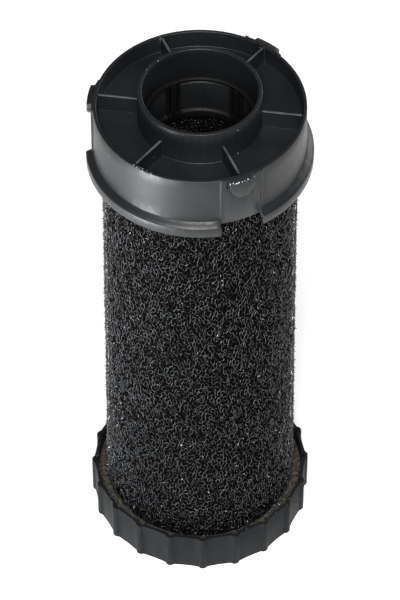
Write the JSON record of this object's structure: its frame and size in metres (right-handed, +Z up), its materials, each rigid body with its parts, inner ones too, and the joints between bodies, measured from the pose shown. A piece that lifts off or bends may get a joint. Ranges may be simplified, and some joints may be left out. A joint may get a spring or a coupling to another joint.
{
  "type": "pneumatic muffler",
  "caption": "exhaust silencer cartridge with a bayonet head cap, open spigot, perforated core, fibre wraps, foam sleeve and ridged foot cap",
  "frame": {"origin": "centre of the foot cap's base", "axes": "+Z up along the bore, out of the spigot"},
  "size_m": [0.0956, 0.0956, 0.2494],
  "materials": {
    "head_plastic": "satin moulded",
    "collar_plastic": "satin moulded",
    "foot_plastic": "matte moulded",
    "black_foam": "open cell foam",
    "adhesive": "cast, fuzzy",
    "perforated_steel": "galvanised",
    "fibre_wrap": "fibre felt",
    "white_scrim": "non-woven",
    "barrier_cloth": "woven"
  },
  "bodies": {
    "root": {"head_cap": "head_plastic", "neck_collar": "collar_plastic", "head_bond": "adhesive", "core_foam": "black_foam", "core_tube": "perforated_steel", "inner_scrim": "white_scrim", "coarse_wrap": "fibre_wrap", "fine_wrap": "fibre_wrap", "outer_scrim": "white_scrim", "outer_tube": "perforated_steel", "barrier_cloth": "barrier_cloth", "foam_sleeve": "black_foam", "foot_bond": "adhesive", "foot_cap": "foot_plastic"}
  },
  "joints": []
}
